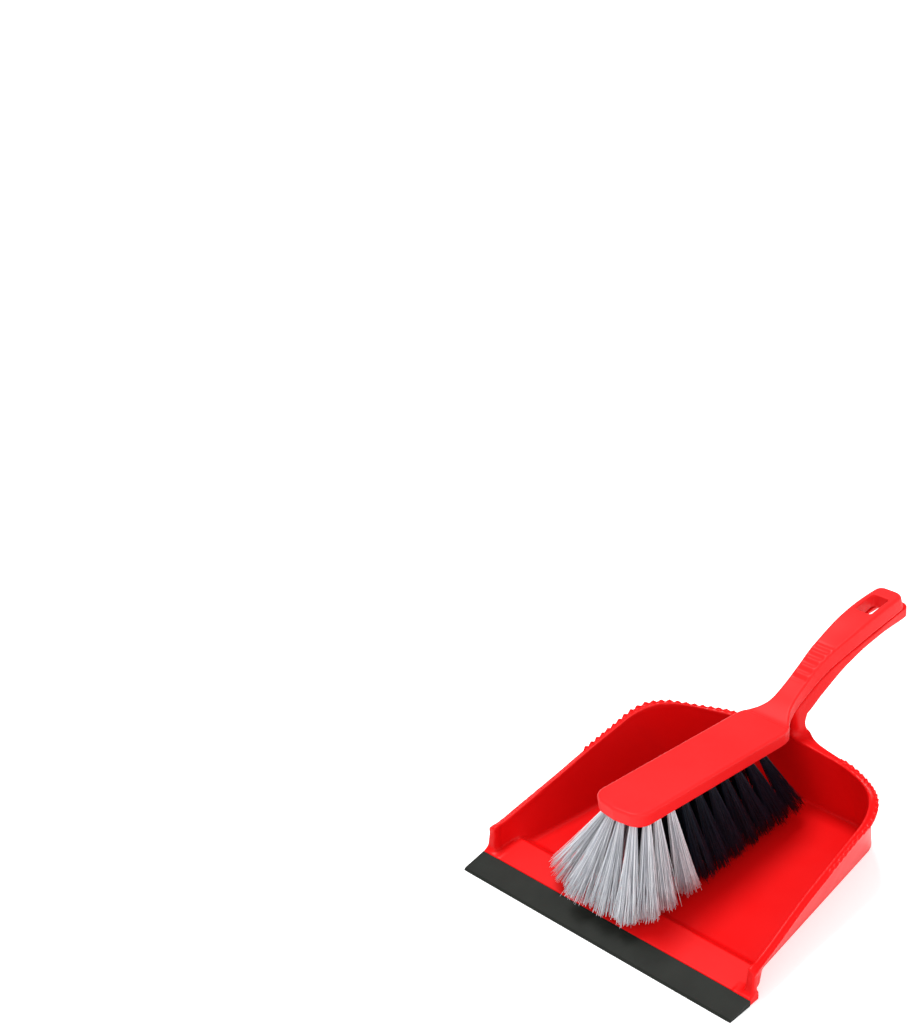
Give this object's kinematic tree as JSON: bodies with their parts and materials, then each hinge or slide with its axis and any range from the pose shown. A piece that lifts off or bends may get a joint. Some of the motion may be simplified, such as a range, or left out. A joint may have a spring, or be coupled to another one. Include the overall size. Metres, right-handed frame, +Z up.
{
  "type": "dustpan and brush set",
  "caption": "Open dustpan with a rubber lip and comb-toothed rim, and a two-tone hand brush whose handle nests on the pan's handle.",
  "frame": {"origin": "centre of the set's footprint, on the surface that the dustpan stands on", "axes": "+Y from the rubber lip to the handles' ends, +Z up, X across the dustpan's mouth"},
  "size_m": [0.235, 0.34, 0.1092],
  "materials": {
    "pan_plastic": "moulded polypropylene, satin gloss",
    "stock_plastic": "moulded polypropylene, satin gloss",
    "lip_rubber": "soft matt thermoplastic rubber",
    "grey_fibre": "split synthetic bristle",
    "black_fibre": "split synthetic bristle",
    "anchor_steel": "flat drawn wire"
  },
  "bodies": {
    "dustpan": {"dustpan_body": "pan_plastic", "rubber_lip": "lip_rubber"},
    "brush": {"anchor_wires": "anchor_steel", "black_tuft_08": "black_fibre", "black_tuft_09": "black_fibre", "black_tuft_10": "black_fibre", "black_tuft_11": "black_fibre", "black_tuft_12": "black_fibre", "black_tuft_13": "black_fibre", "black_tuft_14": "black_fibre", "black_tuft_17": "black_fibre", "black_tuft_18": "black_fibre", "black_tuft_19": "black_fibre", "black_tuft_20": "black_fibre", "black_tuft_21": "black_fibre", "black_tuft_22": "black_fibre", "black_tuft_23": "black_fibre", "black_tuft_25": "black_fibre", "black_tuft_26": "black_fibre", "black_tuft_27": "black_fibre", "black_tuft_28": "black_fibre", "black_tuft_29": "black_fibre", "black_tuft_30": "black_fibre", "black_tuft_31": "black_fibre", "black_tuft_33": "black_fibre", "black_tuft_34": "black_fibre", "black_tuft_35": "black_fibre", "black_tuft_36": "black_fibre", "black_tuft_37": "black_fibre", "black_tuft_38": "black_fibre", "black_tuft_39": "black_fibre", "brush_stock": "stock_plastic", "grey_tuft_01": "grey_fibre", "grey_tuft_02": "grey_fibre", "grey_tuft_03": "grey_fibre", "grey_tuft_04": "grey_fibre", "grey_tuft_05": "grey_fibre", "grey_tuft_06": "grey_fibre", "grey_tuft_07": "grey_fibre", "grey_tuft_15": "grey_fibre", "grey_tuft_16": "grey_fibre", "black_tuft_24": "black_fibre", "black_tuft_32": "black_fibre"}
  },
  "joints": [
    {"name": "brush_lift", "type": "slide", "parent": "dustpan", "child": "brush", "axis": [0, 0, 1], "range_m": [0, 0.12]}
  ]
}
